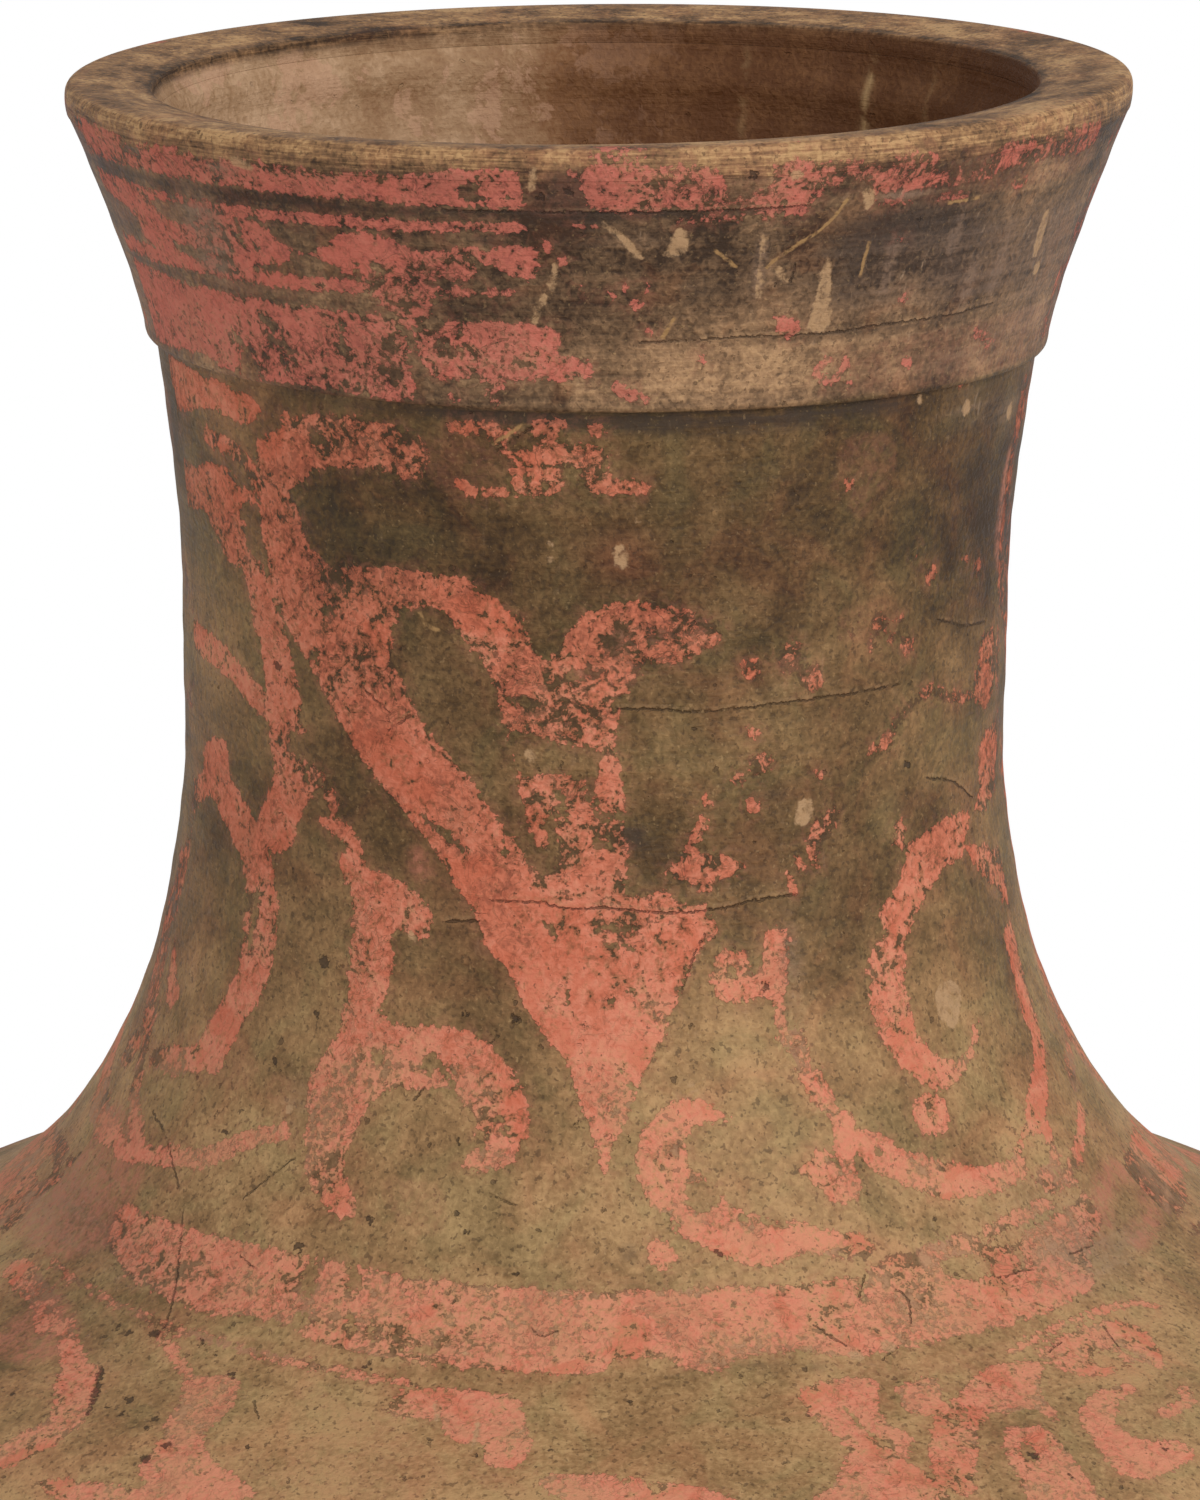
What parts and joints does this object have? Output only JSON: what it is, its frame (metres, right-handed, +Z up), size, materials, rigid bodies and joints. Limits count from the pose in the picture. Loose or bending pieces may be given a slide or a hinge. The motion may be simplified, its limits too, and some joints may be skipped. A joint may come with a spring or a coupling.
{
  "type": "jar",
  "caption": "Tall painted earthenware jar with flared strapped mouth, long neck, round belly and splayed ring foot, built of luted clay courses.",
  "frame": {"origin": "centre of the face that the foot stands on", "axes": "+Z up along the axis that the jar was turned on, towards the mouth"},
  "size_m": [0.366, 0.366, 0.5107],
  "materials": {
    "painted_clay": "matte unglazed clay with worn red and purple pigment",
    "bare_clay": "matte unglazed clay",
    "lip_clay": "matte unglazed clay, worn smooth and stained",
    "luting_clay": "rough matte clay, pressed by hand"
  },
  "bodies": {
    "root": {"foot_ring": "painted_clay", "foot_band": "painted_clay", "floor_disc": "bare_clay", "bowl_course_1": "painted_clay", "bowl_course_2": "painted_clay", "bowl_course_3": "painted_clay", "shoulder_course_1": "painted_clay", "shoulder_course_2": "painted_clay", "shoulder_course_3": "painted_clay", "neck_root_course": "painted_clay", "neck_middle_course": "painted_clay", "neck_top_course": "painted_clay", "mouth_wall": "bare_clay", "mouth_strap": "painted_clay", "lip_coil": "lip_clay", "floor_coil": "luting_clay", "foot_coil": "luting_clay", "girth_coil": "luting_clay", "neck_coil": "luting_clay"}
  },
  "joints": []
}
